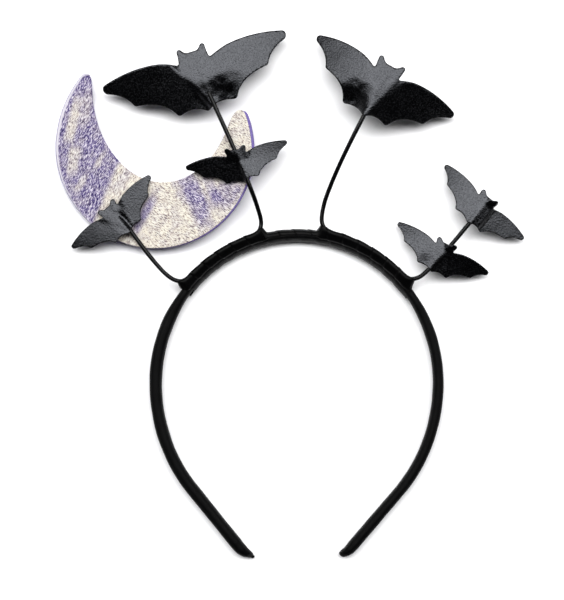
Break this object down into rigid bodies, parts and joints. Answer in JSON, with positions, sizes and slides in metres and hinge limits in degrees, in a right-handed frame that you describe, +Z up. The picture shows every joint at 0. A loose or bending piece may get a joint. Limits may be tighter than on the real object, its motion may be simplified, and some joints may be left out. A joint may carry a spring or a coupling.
{
  "type": "bat headband with crescent moon",
  "caption": "Open hoop headband lying flat, its crown bound with ribbon over bent wires that carry leatherette bats above a foil crescent moon.",
  "frame": {"origin": "on the table, under the middle of the headpiece's overall box, with the headpiece lying flat", "axes": "+X to the right as seen from above with the crown away, +Y from the band's tips towards its crown and the bats, +Z up from the table"},
  "size_m": [0.2094, 0.2344, 0.0182],
  "materials": {
    "band_cloth": "black satin cloth, fine weave, soft sheen",
    "wound_ribbon": "black cloth ribbon wound in overlapping turns",
    "wire_coat": "smooth black coat, semi-gloss",
    "bat_leatherette": "black leatherette, fine pebbled grain, satin gloss",
    "moon_foil": "crinkled film that shifts between violet and cream",
    "moon_foam": "violet craft foam, matte"
  },
  "bodies": {
    "root": {"headband": "band_cloth", "wrap_ribbon": "wound_ribbon", "wire_left": "wire_coat", "wire_right": "wire_coat", "bat_large_left": "bat_leatherette", "bat_large_right": "bat_leatherette", "bat_small_left_inner": "bat_leatherette", "bat_small_left_outer": "bat_leatherette", "bat_small_right_upper": "bat_leatherette", "bat_small_right_lower": "bat_leatherette", "moon_face": "moon_foil", "moon_backing": "moon_foam"}
  },
  "joints": []
}
